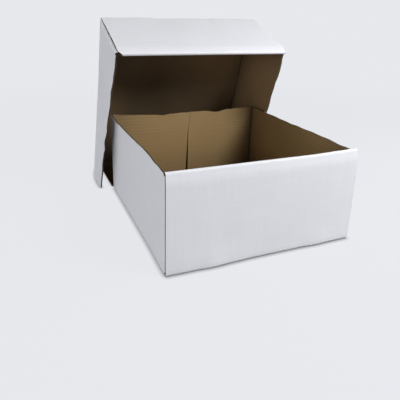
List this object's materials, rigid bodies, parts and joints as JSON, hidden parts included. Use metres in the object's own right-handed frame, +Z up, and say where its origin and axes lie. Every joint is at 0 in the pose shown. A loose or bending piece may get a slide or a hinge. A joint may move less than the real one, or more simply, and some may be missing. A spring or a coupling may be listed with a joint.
{
  "type": "hinged-lid cake box",
  "caption": "Hinged-lid cake box folded from one blank of white corrugated board: open tray with a rolled-over front wall, flat back panel and a full-depth lid that leans over the tray.",
  "frame": {"origin": "centre of the tray's underside, between the outer faces of its four walls", "axes": "+X to the right along the front wall, +Y to the back towards the back panel and the lid, +Z up"},
  "size_m": [0.3437, 0.4863, 0.3252],
  "materials": {
    "white_board": "matt white-faced corrugated board, brown kraft inside and at its raw edges"
  },
  "bodies": {
    "tray": {"tray": "white_board"},
    "back_panel": {"back_panel": "white_board"},
    "lid": {"lid": "white_board"}
  },
  "joints": [
    {"name": "back_fold", "type": "hinge", "parent": "tray", "child": "back_panel", "pos_m": [0, 0.1669, 0.0014], "axis": [1, 0, 0], "range_deg": [0, 38]},
    {"name": "lid_fold", "type": "hinge", "parent": "back_panel", "child": "lid", "pos_m": [0, 0.3199, 0.0014], "axis": [-1, 0, 0], "range_deg": [0, 111.1]}
  ]
}
